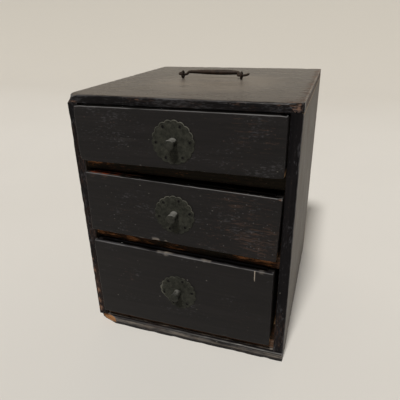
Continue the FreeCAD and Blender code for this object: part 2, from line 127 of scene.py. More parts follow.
# Wood: grain runs along the board, marks holds polished arris (with a painted highlight on upward arrises),
# bare wood and rubbed finish, haze is dust and painted light: sheen on the top and sides, a lifted drawer
# shadow on the base, pale highlight lines, and painted shade where it is negative
stainLook = {
    "dark": colour(0.0033, 0.003, 0.0037), "brown": colour(0.0096, 0.0083, 0.009),
    "rubbed": colour(0.04, 0.023, 0.017), "arris": colour(0.095, 0.093, 0.095),
    "hazeAndPaintedLight": colour(0.262, 0.224, 0.182), "bareDark": colour(0.009, 0.0048, 0.0036),
    "bareLight": colour(0.165, 0.098, 0.07), "scuff": colour(0.037, 0.036, 0.039), "scuffs": 0.7,
    "ground": colour(0.13, 0.023, 0.008), "dots": 0.8,
    "fleck": colour(0.3, 0.285, 0.25), "flecks": 0.5, "ring": 0.08,
    "paintedShade": colour(0.0016, 0.0014, 0.0013), "fresh": colour(0.33, 0.155, 0.06), "clouding": 1.0,
    "rough": 0.4, "roughSwing": 0.24, "specular": 0.2, "sheen": colour(1.0, 0.97, 0.91), "relief": 0.17,
}
# the top and side looks have a low specular; their dust tone also carries painted sheen
topLook = {**stainLook, "rough": 0.26, "roughSwing": 0.16, "specular": 0.08, "clouding": 0.45}
sideLook = {**stainLook, "hazeAndPaintedLight": colour(0.33, 0.252, 0.165), "specular": 0.06, "clouding": 0.36}
# rail wood; its haze colour also paints light on the base rail, lifting the bottom drawer's shadow
railLook = {
    "dark": colour(0.0066, 0.0053, 0.0034), "brown": colour(0.0185, 0.0134, 0.0078),
    "rubbed": colour(0.066, 0.026, 0.013), "arris": colour(0.05, 0.03, 0.02),
    "hazeAndPaintedLight": colour(0.17, 0.115, 0.08), "bareDark": colour(0.062, 0.025, 0.009),
    "bareLight": colour(0.33, 0.142, 0.06), "scuff": colour(0.05, 0.03, 0.02), "scuffs": 0.3,
    "ground": colour(0.26, 0.046, 0.016), "dots": 0.0,
    "fleck": colour(0.12, 0.09, 0.07), "flecks": 0.4, "ring": 0.2, "paintedShade": colour(0.003, 0.002, 0.0015),
    "fresh": colour(0.33, 0.15, 0.05), "clouding": 1.0,
    "rough": 0.62, "roughSwing": 0.2, "specular": 0.08, "sheen": colour(1.0, 0.97, 0.91), "relief": 0.3,
}
bareLook = {
    "dark": colour(0.21, 0.115, 0.055), "brown": colour(0.36, 0.22, 0.115),
    "rubbed": colour(0.0055, 0.0044, 0.004), "arris": colour(0.27, 0.16, 0.085),
    "hazeAndPaintedLight": colour(0.3, 0.24, 0.17), "bareDark": colour(0.3, 0.17, 0.085),
    "bareLight": colour(0.46, 0.3, 0.16), "scuff": colour(0.15, 0.085, 0.04), "scuffs": 0.3,
    "ground": colour(0.0055, 0.0044, 0.004), "dots": 0.0,
    "fleck": colour(0.08, 0.05, 0.03), "flecks": 0.6, "ring": 0.4, "paintedShade": colour(0.03, 0.02, 0.012),
    "fresh": colour(0.46, 0.3, 0.16), "clouding": 1.0,
    "rough": 0.68, "roughSwing": 0.15, "specular": 0.25, "sheen": colour(1.0, 1.0, 1.0), "relief": 0.25,
}


ringsPerMetre = 290.0


def woodFinish(name, look):
    material, root = newFinish(name)
    grain = root.add("Attribute", {"attribute_name": "grain"}, out=1)
    marks = root.add("Attribute", {"attribute_name": "marks"}, out=1)
    hazeAndPaintedLight = root.add("Attribute", {"attribute_name": "hazeAndPaintedLight"}, out=2)
    arris, bare, rub = marks.part(0), marks.part(1), marks.part(2)
    streak = grain.stretch((13, 260, 260)).cloud(5.0, 0.62)
    short = grain.stretch((105, 900, 900)).cloud(4.0, 0.68)
    broad = grain.stretch((5, 42, 42)).cloud(2.0)
    fibre = grain.stretch((75, 1900, 1900)).cloud(2.0, 0.6)
    blotch = grain.stretch((26, 48, 48)).cloud(3.0)
    fine = grain.stretch((420, 650, 650)).cloud(2.0)

    # growth rings about a line along the grain
    wander = grain.stretch((3, 9, 9)).cloud(1.0, out=1)
    drift = grain.add("VectorMath", {"operation": "MULTIPLY_ADD"}, {
        0: wander, 1: (0.0, 0.012, 0.012), 2: grain.stretch((0, 1, 1))})
    ringRadius = drift.add("VectorMath", {"operation": "LENGTH"}, {0: drift}, out=1)
    ring = drift.maths("FRACT", ringRadius * ringsPerMetre, 0.0) ** 2.2
    figure = (streak * 0.75 + ring * look["ring"] + fibre * 0.3 - 0.2).fade(0.12, 0.72)

    finish = figure.between(look["dark"], look["brown"])
    scuff = grain.stretch((230, 820, 820)).cloud(3.0, 0.6)
    scuffMask = (scuff + blotch * 0.7 + hazeAndPaintedLight * 0.55 - 0.98).fade(0.0, 0.12) * look["scuffs"]
    finish = scuffMask.between(finish, look["scuff"])
    smear = grain.stretch((62, 330, 330)).cloud(4.0, 0.64)
    clouds = (smear - 0.5) * 1.6 + (streak - 0.5) * 1.3 + (short - 0.5) * 0.9 + (blotch - 0.5) * 0.9
    hazeAndPaintedLightMask = (hazeAndPaintedLight * (clouds * look["clouding"] + 0.69)).fade(0.1, 1.0)
    finish = hazeAndPaintedLightMask.between(finish, look["hazeAndPaintedLight"])
    # negative haze mixes towards a dark colour: painted shade on the ledges of the top and middle drawers,
    # and a slight darkening of the bottom drawer's face
    finish = (0.0 - hazeAndPaintedLight).fade(0.0, 1.0).between(finish, look["paintedShade"])
    rubMask = (rub * 0.55 + short * 1.5 + broad * 0.3 - 1.17).fade(0.0, 0.3)
    finish = rubMask.between(finish, look["rubbed"])
    finish = (rub + (short - 0.5) * 0.9).fade(1.1, 1.6).between(finish, look["ground"])
    arrisPolishAndHighlightMask = (arris * 1.3 + (blotch - 0.5) * 0.9 + (fibre - 0.5) * 0.6 - 0.3).fade(0.0, 0.65)
    finish = arrisPolishAndHighlightMask.between(finish, look["arris"])
    timber = (ring * 0.3 + streak * 1.7 + short * 1.5 + bare * 0.4 - 1.72).fade(0.0, 0.6)
    pale = bare.fade(1.0, 1.3).between(look["bareLight"], look["fresh"])
    timber = timber.between(look["bareDark"], pale)
    bareMask = bare * 1.3 + (streak - 0.5) * 1.6 + (short - 0.5) * 1.2 + (fine - 0.5) * 0.8 - 0.45
    bareMask = bareMask.fade(0.0, 0.5)
    finish = bareMask.between(finish, timber)

    # fine specks where the finish is rubbed, a few larger pale flecks, light lines in the strongest haze:
    # painted highlights along the right top edges, with worn wood, and a light line on the bottom drawer's
    # front
    dotPlace = grain.stretch((300, 430, 430))
    dotTint = dotPlace.cells(1)
    dotMask = (dotTint.part(0) + rub * 0.95 - 0.95).fade(0.0, 0.2) * (1.0 - dotPlace.cells().fade(0.06, 0.28))
    dotColour = dotTint.part(1).between(look["rubbed"], look["arris"])
    finish = (dotMask * look["dots"]).between(finish, dotColour)
    cellPlace = grain.stretch((95, 170, 170))
    chosen = (cellPlace.cells(1).part(0) - 0.55).fade(0.0, 0.4)
    fleckMask = chosen * (1.0 - cellPlace.cells().fade(0.02, 0.11))
    finish = (fleckMask * look["flecks"] + hazeAndPaintedLight.fade(2.0, 3.0)).between(finish, look["fleck"])

    rough = (blotch - 0.5) * look["roughSwing"] + (fibre - 0.5) * 0.12 + look["rough"]
    rough = rough + bareMask * 0.45 + hazeAndPaintedLightMask * 0.15
    height = streak * 0.5 + fibre * 0.35 + ring * look["ring"] * 0.3 - bareMask * 0.3
    bump = height.add("Bump", None, {"Strength": look["relief"], "Distance": 0.0009, "Height": height})
    setShader(material, {
        "Base Color": finish, "Roughness": rough, "Normal": bump,
        "Specular IOR Level": look["specular"], "Specular Tint": look["sheen"],
    })
    return material


# Metal: marks holds the rubbed high edges, with a painted highlight on upward faces, and the grimy parts,
# with painted shade round the plate holes
ironLook = {
    "dark": colour(0.0068, 0.0046, 0.0034), "rust": colour(0.03, 0.0158, 0.0088),
    "rubbed": colour(0.075, 0.06, 0.046), "grimeAndShade": colour(0.004, 0.003, 0.0024),
    "scale": (240, 240, 240), "metallic": 0.3, "rough": 0.58, "specular": 0.2, "relief": 0.5,
}
plateLook = {
    "dark": colour(0.0125, 0.0128, 0.0105), "rust": colour(0.036, 0.036, 0.0285),
    "rubbed": colour(0.11, 0.108, 0.09), "grimeAndShade": colour(0.0045, 0.0044, 0.0042),
    "scale": (210, 210, 210), "metallic": 0.12, "rough": 0.58, "specular": 0.06, "relief": 0.4,
}
# the rubbed colour also serves as the painted highlight on the knob's top flank
knobLook = {
    "dark": colour(0.0125, 0.0127, 0.0106), "rust": colour(0.033, 0.0328, 0.0268),
    "rubbed": colour(0.2, 0.196, 0.178), "grimeAndShade": colour(0.009, 0.0088, 0.008),
    "scale": (260, 260, 260), "metallic": 0.12, "rough": 0.52, "specular": 0.08, "relief": 0.35,
}


def metalFinish(name, look):
    material, root = newFinish(name)
    place = root.add("TexCoord", None, None, out=3)
    marks = root.add("Attribute", {"attribute_name": "marks"}, out=1)
    edge, grimeAndShade = marks.part(0), marks.part(1)
    blotch = place.stretch(look["scale"]).cloud(4.0, 0.62)
    fine = place.stretch(tuple(value * 7 for value in look["scale"])).cloud(2.0)
    pits = (blotch * 0.8 + fine * 0.5 - 0.25).fade(0.2, 0.62)
    finish = pits.between(look["dark"], look["rust"])
    rubMask = (edge * 1.1 + (blotch - 0.5) * 0.8 + (fine - 0.5) * 0.5 - 0.3).fade(0.0, 0.7)
    finish = rubMask.between(finish, look["rubbed"])
    finish = (grimeAndShade + (blotch - 0.5) * 0.6).fade(0.1, 0.9).between(finish, look["grimeAndShade"])
    rough = (blotch - 0.5) * 0.3 + look["rough"] - rubMask * 0.1
    metallic = rubMask * 0.3 + look["metallic"] - pits * 0.2
    height = blotch * 0.6 + fine * 0.4
    bump = height.add("Bump", None, {"Strength": look["relief"], "Distance": 0.0006, "Height": height})
    setShader(material, {
        "Base Color": finish, "Roughness": rough, "Metallic": metallic, "Normal": bump,
        "Specular IOR Level": look["specular"],
    })
    return material


pegLook = {"dark": colour(0.1, 0.055, 0.028), "light": colour(0.22, 0.13, 0.07), "scale": (300, 300, 300)}


def pegFinish(name, look):
    material, root = newFinish(name)
    place = root.add("TexCoord", None, None, out=3)
    blotch = place.stretch(look["scale"]).cloud(4.0, 0.6)
    bump = blotch.add("Bump", None, {"Strength": 0.3, "Distance": 0.0005, "Height": blotch})
    setShader(material, {
        "Base Color": blotch.fade(0.3, 0.7).between(look["dark"], look["light"]),
        "Roughness": blotch * 0.3 + 0.5, "Normal": bump,
    })
    return material


stainedWood = woodFinish("stainedWood", stainLook)
topWood = woodFinish("stainedTopWood", topLook)
sideWood = woodFinish("stainedSideWood", sideLook)
railWood = woodFinish("wornRailWood", railLook)
bareWood = woodFinish("bareWood", bareLook)
pegWood = pegFinish("pegWood", pegLook)
forgedIron = metalFinish("forgedIron", ironLook)
plateMetal = metalFinish("plateMetal", plateLook)
knobMetal = metalFinish("knobMetal", knobLook)
print("finishes made:", len(bpy.data.materials))


def addPiece(name, mesh, finish, body, node):
    mesh.materials.clear()
    mesh.materials.append(finish)
    mesh.shade_smooth()
    mesh.set_sharp_from_angle(angle=0.7)
    piece = bpy.data.objects.new(name, mesh)
    scene.collection.objects.link(piece)
    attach(piece, body)
    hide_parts(node)
    return piece


def meshFrom(bm, name):
    mesh = bpy.data.meshes.new(name)
    bm.to_mesh(mesh)
    bm.free()
    return mesh


def everything(bm):
    return bm.verts[:] + bm.edges[:] + bm.faces[:]


def vertsOf(geometry):
    return [item for item in geometry if isinstance(item, bmesh.types.BMVert)]


def sharpEdges(bm, wanted=None):
    return [
        edge for edge in bm.edges
        if len(edge.link_faces) == 2 and edge.is_convex and edge.calc_face_angle() > 0.4
        and (wanted is None or wanted(edge))
    ]


def roundOver(bm, edges, radius, segments=3):
    bmesh.ops.bevel(
        bm, geom=edges, offset=radius, offset_type="OFFSET", segments=segments, profile=0.5, material=-1,
        affect="EDGES", clamp_overlap=True)


def cutAcross(bm, axis, place):
    spot, across = Vector((0, 0, 0)), Vector((0, 0, 0))
    spot[axis], across[axis] = place, 1
    bmesh.ops.bisect_plane(bm, geom=everything(bm), dist=1e-7, plane_co=spot, plane_no=across)


def smooth(value, low, high):
    share = min(1.0, max(0.0, (value - low) / (high - low)))
    return share * share * (3 - 2 * share)


# A hand-planed board: box, chipped corners, rounded arrises, cut into small faces, then worn.
# Chips are planes (a point, the side that breaks off, 1 where it shows raw wood), spots are x, y, z,
# radius and strength, strips are boxes of two corners and a haze. A reach is how far wear goes in from
# an edge, all in mm, and a pitch is the scale of its noise.
boardLook = {
    "grain": "x", "arris": 0.9, "step": 5.0, "nick": 0.45, "nickPitch": 150.0, "wave": 0.14,
    "cornerWear": 0.5, "arrisReach": 1.5, "arrisSide": 0.16, "chips": [], "bare": [], "rub": [],
    "hazeAndPaintedLight": [], "dustAndPaintedLight": 0.0, "extra": [], "rounded": [], "dents": [], "strips": [], "splinter": 0.9,
    "lapped": None, "rawTone": 1.0, "softEdges": None, "sideDustAndSheen": 0.0, "joined": (), "polishAndHighlight": 1.0,
    "frontTone": 0.0, "nickReach": 3.2, "knockReach": 7.0, "pushReach": 3.0, "unevenPitch": 60.0,
    "wavePitch": 22.0, "lapFade": 28.0,
}
grainTurn = {"x": (0, 1, 2), "y": (1, 2, 0), "z": (2, 0, 1)}


def slicePlaces(low, high, step, arris):
    inset = arris * 2.2
    count = max(1, round((high - low - 2 * inset) / step))
    places = [low + inset + (high - low - 2 * inset) * i / count for i in range(count + 1)]
    return places if high - low > 2.5 * inset else []


def spotValue(point, spots):
    best = 0.0
    for x, y, z, radius, strength in spots:
        away = (point - Vector((x, y, z)) * mm).length / (radius * mm)
        if away < 1:
            best = max(best, strength * (1 - away * away))
    return best


def wearBoard(bm, look, seed, rawLayer):
    low = Vector([min(vert.co[axis] for vert in bm.verts) for axis in range(3)])
    high = Vector([max(vert.co[axis] for vert in bm.verts) for axis in range(3)])
    marks = bm.verts.layers.float_vector.new("marks")
    grain = bm.verts.layers.float_vector.new("grain")
    hazeAndPaintedLight = bm.verts.layers.float.new("hazeAndPaintedLight")
    shift = Vector((seed * 11.3, seed * 5.7, seed * 8.9))
    pith = Vector((seed * 1.37, ((seed * 0.37) % 1 - 0.5) * 0.16, 0.03 + ((seed * 0.71) % 1) * 0.07))
    turn = grainTurn[look["grain"]]
    chips = [(Vector(spot) * mm, Vector(out).normalized()) for spot, out, raw in look["chips"]]
    bm.normal_update()
    moved = []
    for vert in bm.verts:
        co = vert.co
        near = [(co[axis] - low[axis], axis, 1) for axis in range(3)]
        near += [(high[axis] - co[axis], axis, -1) for axis in range(3)]
        near = [item for item in near if item[1:] not in look["joined"]]
        gaps = sorted([gap for gap, axis, sign in near] + [(spot - co).dot(out) for spot, out in chips])
        edge, corner = gaps[1] / mm, gaps[2] / mm
        uneven = noise.noise((co + shift) * look["unevenPitch"])
        nick = max(0.0, noise.noise((co + shift) * look["nickPitch"]) - 0.12)
        nick *= max(0.0, 1 - edge / look["nickReach"])
        knock = max(0.0, 1 - corner / look["knockReach"]) * look["cornerWear"]
        inward = Vector((0, 0, 0))
        for gap, axis, sign in near:
            inward[axis] += sign * max(0.0, 1 - gap / (look["pushReach"] * mm))
        raw = any(face[rawLayer] for face in vert.link_faces)
        dent = spotValue(co, look["dents"]) * (1 + uneven)
        push = inward.normalized() * (nick * look["nick"] * 2.2 + knock * (0.7 + uneven) + dent) * mm
        ripple = noise.noise((co + shift) * look["wavePitch"])
        push -= vert.normal * (ripple + 1) * 0.5 * look["wave"] * mm
        if raw:
            fibrous = Vector((co[turn[0]] * 45, co[turn[1]] * 420, co[turn[2]] * 420)) + shift
            push -= vert.normal * (noise.noise(fibrous) + 1.0) * 0.6 * look["splinter"] * mm
        upward = max(0.0, vert.normal.z)
        # polish along arrises, weighted to upward arrises: worn polish plus a painted highlight where light
        # falls from above
        arrisPolishAndHighlight = max(0.0, 1 - edge / (look["arrisReach"] * (1 + 0.4 * uneven))) * look["polishAndHighlight"]
        arrisPolishAndHighlight *= look["arrisSide"] + (1 - look["arrisSide"]) * min(1.0, upward * 1.6)
        bared = max(look["rawTone"] if raw else 0.0, spotValue(co, look["bare"]), nick * 0.8 * look["nick"])
        vert[marks] = (arrisPolishAndHighlight, bared, spotValue(co, look["rub"]))
        if look["lapped"] is not None:  # stain lapped over the end
            lapEnd = look["lapped"] + look["lapFade"] * mm
            vert[marks].z = 2 - 2 * smooth(co.y, look["lapped"], lapEnd)
            vert[marks].x *= 1 - min(1.0, vert[marks].z)
        strips = [
            tone for first, last, tone in look["strips"]
            if all(first[i] < co[i] / mm < last[i] for i in range(3))
        ]
        # dust on upward and sideways faces; on the top and the sides it also stands for painted sheen
        dustAndPaintedLight = max(look["dustAndPaintedLight"] * upward ** 2, look["sideDustAndSheen"] * vert.normal.x ** 2)
        vert[hazeAndPaintedLight] = max([dustAndPaintedLight, spotValue(co, look["hazeAndPaintedLight"]), *strips])
        if look["dustAndPaintedLight"] < 0 and upward > 0.5:  # painted shade on the ledge
            vert[hazeAndPaintedLight] = look["dustAndPaintedLight"]
        # a haze on front faces: scuffed tone on the boards, painted light on the base rail in the drawer's
        # shadow, a slight darkening of the bottom drawer's face
        if look["frontTone"] and vert.normal.y < -0.5 and vert[hazeAndPaintedLight] < 0.1:
            vert[hazeAndPaintedLight] = look["frontTone"]
        vert[grain] = Vector((co[turn[0]], co[turn[1]], co[turn[2]])) + pith
        moved.append((vert, co + push))
    for vert, spot in moved:
        vert.co = spot


def makeBoard(
        name, node, body, slotName, finish, seed, low=None, high=None, shape=None, prepare=None, **changes):
    look = {**boardLook, **changes}
    if low is None:
        low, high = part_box(node)
    bm = bmesh.new()
    bmesh.ops.create_cube(bm, size=1.0)
    bmesh.ops.scale(bm, vec=high - low, verts=bm.verts)
    bmesh.ops.translate(bm, vec=(low + high) / 2, verts=bm.verts)
    rawLayer = bm.faces.layers.int.new("raw")
    for spot, out, raw in look["chips"]:
        cut = bmesh.ops.bisect_plane(
            bm, geom=everything(bm), dist=1e-7, plane_co=Vector(spot) * mm, plane_no=Vector(out),
            clear_outer=True)
        rim = [item for item in cut["geom_cut"] if isinstance(item, bmesh.types.BMEdge)]
        for face in bmesh.ops.contextual_create(bm, geom=rim)["faces"]:
            face[rawLayer] = raw
    if prepare:
        prepare(bm, low, high)
    for wanted, radius in look["rounded"]:
        roundOver(bm, sharpEdges(bm, wanted), radius * mm, 5)
    roundOver(bm, sharpEdges(bm, look["softEdges"]), look["arris"] * mm)
    for axis in range(3):
        places = slicePlaces(low[axis], high[axis], look["step"] * mm, look["arris"] * mm)
        for place in places + [value * mm for cutAxis, value in look["extra"] if cutAxis == axis]:
            cutAcross(bm, axis, place)
    wearBoard(bm, look, seed, rawLayer)
    bm.faces.layers.int.remove(rawLayer)
    if shape:
        for vert in bm.verts:
            vert.co = shape(vert.co)
    bmesh.ops.recalc_face_normals(bm, faces=bm.faces)
    return addPiece(name, meshFrom(bm, name), finish, body, node)


# Case boards
longEdge, topJoint, outerFace = 5 * mm, 263 * mm, 109.9 * mm


def edgeWhere(test):
    return lambda edge: all(test(vert.co / mm) for vert in edge.verts)


def upright(edge):
    return abs(edge.verts[0].co.z - edge.verts[1].co.z) > longEdge


def edgeAbove(edge):
    return max(vert.co.z for vert in edge.verts) > topJoint


def uprightOrOuter(edge):
    return upright(edge) or min(vert.co.x for vert in edge.verts) > outerFace


topBoard = {
    "grain": "x", "arris": 0.8, "step": 3.5, "nick": 0.4, "wave": 0.2, "cornerWear": 0.2,
    # dust on the top also stands for painted sheen
    "dustAndPaintedLight": 0.46, "frontTone": 0.15,
    "splinter": 2.6, "joined": ((2, 1),), "rawTone": 0.52, "softEdges": edgeAbove,
    "chips": [((-109.6, -120, 262), (-1.5, -1.5, 1), 0), ((96, -120, 270), (3, -7, 3), 1)],
    # pale line along the right top arris: worn wood and a painted highlight
    "strips": [((109, -111, 269), (110.1, 119, 270.1), 2.6)],
    "extra": [(0, 94 + 1.3 * i) for i in range(12)] + [(2, 263.6 + 1.2 * i) for i in range(5)],
    "rounded": [
        (edgeWhere(lambda co: co.y < -114.9 and co.z > 269.9 and co.x < 96.5), 2.2)],
    "dents": [
        (-46, -120, 270, 5, 0.5), (30, -120, 262, 8, 0.6), (-75, -120, 262, 6, 0.5),
        (-109, -119, 272.5, 9.5, 2.4)],
    "rub": [
        (-35, -120, 270, 22, 0.5), (10, -120, 270, 18, 0.4), (62, -120, 270, 24, 0.5),
        (98, -112, 270, 22, 0.6)],
    "bare": [
        (-44, -119.5, 269.5, 5, 0.4), (-36, -119.5, 269.5, 6, 0.45), (-30, -119.5, 269.5, 4, 0.4),
        (8, -119.5, 269.5, 5, 0.35), (48, -119.5, 269.5, 6, 0.4), (57, -119.5, 269.5, 5, 0.45),
        (90, -119, 269.5, 6, 0.5), (-110, -116, 266, 5, 0.35), (99, -115, 270, 8, 0.55),
        (106, -112, 270, 7, 0.55), (-104, -118, 268, 9, 0.42),
        *[(110, y, 264.5, 13, 0.66) for y in range(-105, 121, 12)]],
    # the broad spot over the middle of the top is painted sheen over dust
    "hazeAndPaintedLight": [(8, -14, 270, 125, 0.8), (-108, -118, 268, 6, 0.5)],
}
baseBoard = {
    "grain": "x", "arris": 0.9, "step": 3.5, "nick": 0.8, "nickPitch": 110.0, "cornerWear": 0.6,
    "splinter": 1.6,
    "chips": [((-89, -122, 5), (-7, -21, 0), 1)], "rawTone": 1.25,
    "rounded": [(edgeWhere(lambda co: co.y < -121.9 and co.z > 9.9), 3.0)],
    "rub": [(-38, -122, 8, 22, 0.5), (20, -122, 6, 22, 0.3), (70, -122, 6, 30, 0.35)],
    # the first strip pales the base's nose; the second is painted light, a paler dust tone only where the
    # bottom drawer's shadow falls on the base's top
    "strips": [
        ((-88, -122.2, 3.2), (110.1, -121.4, 8.6), 0.5), ((-99, -118.4, 9.5), (99, -115.5, 10.1), 0.9)],
    "extra": [(1, -118.6), (1, -117.4), (1, -116.2)],
}
leftSide = {
    "grain": "z", "step": 4.0, "nick": 0.5, "softEdges": upright, "joined": ((2, 1), (2, -1)),
    "sideDustAndSheen": 0.47, "frontTone": 0.12, "cornerWear": 0.2,
    "rub": [(-106, -120, 50, 60, 0.75), (-106, -120, 130, 60, 0.65), (-106, -120, 210, 60, 0.6)],
    "bare": [
        (-110, -120, 88, 4, 0.9), (-110, -120, 72, 6, 1.25), (-110, -120, 57, 5, 1.2),
        (-109, -120, 44, 6, 1.25), (-110, -120, 30, 6, 1.3), (-109, -120, 19, 6, 1.3)],
}
rightSide = {
    "grain": "z", "step": 4.0, "nick": 0.5, "softEdges": uprightOrOuter, "joined": ((2, 1), (2, -1), (0, 1)),
    "sideDustAndSheen": 0.47, "arrisSide": 0.7, "frontTone": 0.11,
    # pale line along the side's top end: worn wood and a painted highlight
    "strips": [((109, -118, 261), (110.1, 119, 262.1), 2.5)],
    "rub": [(109, -120, 40, 45, 0.6), (110, -120, 160, 40, 0.2), (104, -120, 110, 30, 0.15)],
    "bare": [(100, -120, 26, 3, 0.7), (110, -120, 96, 4, 0.4)],
}
backPanel = {
    "grain": "z", "step": 8.0, "nick": 0.4, "rub": [(0, 120, 60, 90, 0.3), (-60, 120, 210, 60, 0.25)],
}

makeBoard("topBoard", "top_board", "case", "stained_wood", topWood, 1.0, **topBoard)
makeBoard("baseBoard", "base_board", "case", "stained_wood", stainedWood, 2.0, **baseBoard)
makeBoard("leftSide", "left_side", "case", "stained_wood", sideWood, 3.0, **leftSide)
makeBoard("rightSide", "right_side", "case", "stained_wood", sideWood, 4.0, **rightSide)
makeBoard("backPanel", "back_panel", "case", "stained_wood", stainedWood, 5.0, **backPanel)
print("case boards made")


# Rails and runners; the upper rail tapers, the lower level falls to the right
upperRail = {"left": 11.6 * mm, "right": 14.4 * mm, "top": 207.7 * mm, "half": 99.5 * mm}
lowerRail = {"low": 114.4 * mm, "high": 127.0 * mm}


def taperUpper(co):
    share = (co.x + upperRail["half"]) / (2 * upperRail["half"])
    thick = upperRail["left"] + (upperRail["right"] - upperRail["left"]) * share
    fall = (upperRail["top"] - co.z) * thick / upperRail["right"]
    return Vector((co.x, co.y, upperRail["top"] - fall))


def fallRight(co):
    return Vector((co.x, co.y, co.z - co.x * lowerSlope))


railShapes = {"upper": taperUpper, "lower": fallRight, "base": None}
railWear = {
    "upper": {
        "rub": [(-60, -116, 201, 40, 0.6), (-20, -116, 199, 50, 0.5), (48, -116, 199, 20, 0.4)],
        "bare": [
            (-92, -116, 202, 16, 0.55), (-72, -116, 198, 13, 0.42), (-33, -116, 203, 7, 0.45),
            (0, -116, 197, 16, 0.3)],
    },
    "lower": {
        "rub": [(-60, -116, 120, 60, 0.8), (-5, -116, 119, 45, 0.6), (78, -116, 120, 40, 0.8)],
        "bare": [
            (-95, -116, 120, 12, 0.6), (-80, -116, 120, 20, 0.52), (-57, -116, 120, 11, 0.95),
            (-40, -116, 118, 12, 0.5), (-10, -116, 118, 22, 0.5), (62, -116, 119, 13, 0.38),
            (75, -116, 119, 14, 0.38), (87, -116, 119, 11, 0.52)],
    },
    # base rail: rubbed, bare and hazed all along, a lighter tone that is partly painted light lifting the
    # bottom drawer's shadow
    "base": {
        "rub": [(-70, -116, 16, 50, 0.9), (0, -116, 16, 50, 0.9), (70, -116, 16, 50, 0.9)],
        "bare": [(-60, -116, 16, 40, 0.3), (10, -116, 16, 40, 0.3), (75, -116, 16, 35, 0.3)],
        "frontTone": 1.0,
    },
}
for number, level in enumerate(("upper", "lower", "base")):
    for node in (f"{level}_rail", f"{level}_left_runner", f"{level}_right_runner"):
        low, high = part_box(node)
        if level == "lower":
            low.z, high.z = lowerRail["low"], lowerRail["high"]
        if level == "upper":
            low.z = upperRail["top"] - upperRail["right"]
        isRail = node.endswith("rail")
        wear = railWear[level] if isRail else {}
        seed = 10.0 + number * 1.7 + len(node) * 0.31
        makeBoard(
            node.replace("_", "-"), node, "case", "worn_rail_wood" if isRail else "bare_wood",
            railWood if isRail else bareWood, seed, low, high, railShapes[level],
            grain="x" if isRail else "y", step=3.0 if isRail else 7.0, arris=0.8, nick=0.9 if isRail else 0.3,
            nickPitch=120.0, arrisReach=1.4, joined=((0, 1), (0, -1)), **wear)
print("rails and runners made")


# Drawers: the middle one stands on the sloping rail, the bottom one has a sloping rim
frontLip, frontThick, wallThick, floorThick = 5.5 * mm, 10.5 * mm, 7 * mm, 5 * mm
drawers = {
    "top": {"left": -98.6, "right": 98.8, "low": 208.0, "high": 261.5, "front": -128.0, "seed": 20.0},
    "middle": {"left": -99.0, "right": 96.8, "low": 127.3, "high": 192.3, "front": -126.0, "seed": 24.0},
    "bottom": {"left": -98.5, "right": 95.5, "low": 21.5, "high": 113.9, "front": -126.0, "seed": 28.0},
}
frontWear = {
    "top": {
        # painted shade on the ledge under the top board
        "dustAndPaintedLight": -0.9,
        "rub": [(72, -128, 240, 34, 0.36), (60, -128, 225, 30, 0.28), (-60, -128, 236, 40, 0.22)],
        "hazeAndPaintedLight": [
            (-50, -128, 234, 30, 0.18), (-74, -128, 240, 20, 0.12), (66, -128, 232, 44, 0.06)],
    },
    "middle": {
        # painted shade on the ledge; the red at its left is rubbed-through wood
        "dustAndPaintedLight": -0.9, "chips": [((92.5, -126, 192.3), (0.45, -0.9, 0.95), 1)], "rawTone": 0.7,
        "rub": [
            (62, -126, 172, 50, 0.5), (80, -126, 148, 40, 0.54), (40, -126, 150, 36, 0.36),
            (-60, -126, 150, 50, 0.22),
            (-90, -119, 192.3, 10, 1.9), (-78, -119, 192.3, 10, 1.9), (-66, -119, 192.3, 9, 1.7),
            (-54, -118, 192.3, 8, 1.5), (-44, -117, 192.3, 7, 1.3)],
        "hazeAndPaintedLight": [
            (50, -126, 170, 48, 0.02), (75, -126, 150, 40, 0.03), (-50, -126, 160, 44, 0.03),
            (-26, -126, 128, 3.5, 0.9),
            (-22.5, -126, 128.5, 3, 0.8), (-14, -126, 127.5, 3, 0.8), (-40, -126, 127.5, 2.5, 0.6)],
        "dents": [(-25, -126, 127.3, 5, 0.9), (-14, -126, 127.3, 4, 0.6), (20, -126, 192.3, 6, 0.5)],
    },
    "bottom": {
        # the wide pale band on the top edge is worn polish with the painted highlight of upward arrises; the
        # face is darkened a little
        "arrisReach": 5.0, "polishAndHighlight": 0.62, "frontTone": -0.1,
        "rub": [(-58, -126, 76, 13, 0.5), (60, -126, 44, 30, 0.26), (-70, -126, 60, 30, 0.2)],
        "hazeAndPaintedLight": [
            (-23, -123.5, 114, 4.5, 0.7), (-15, -123.5, 114, 5, 0.75), (-9, -123, 114, 3, 0.6),
            (26, -123.5, 114, 4, 0.75), (31, -123.5, 114, 4, 0.7), (84, -124, 114, 5, 0.7),
            (60, -126, 60, 40, 0.03), (-60, -126, 50, 40, 0.03)],
        "dents": [
            (-32, -126, 113.9, 6, 0.6), (-20, -126, 113.9, 4, 0.4), (31, -126, 113.9, 6, 0.6),
            (60, -126, 113.9, 5, 0.4)],
        "strips": [((77.3, -126.2, 103), (77.7, -125.4, 114.5), 2.5)],
        "extra": [(0, 76.8), (0, 77.5), (0, 78.2)],
    },
}


def addInnerSlab(bm, low, high):
    # thickens the front inside the rebates for the drawer's sides and bottom
    for axis, place in ((0, low.x + wallThick), (0, high.x - wallThick), (2, low.z + floorThick)):
        cutAcross(bm, axis, place)
    bm.normal_update()
    middle, reach = (low.x + high.x) / 2, (high.x - low.x) / 2 - wallThick
    inner = [
        face for face in bm.faces
        if face.normal.y > 0.9 and abs(face.calc_center_median().x - middle) < reach
        and face.calc_center_median().z > low.z + floorThick
    ]
    grown = bmesh.ops.extrude_face_region(bm, geom=inner)["geom"]
    bmesh.ops.translate(bm, vec=(0, frontThick - frontLip, 0), verts=vertsOf(grown))


def standMiddle(co):
    return Matrix.Rotation(math.atan(lowerSlope), 3, "Y") @ (co - middlePivot) + middlePivot


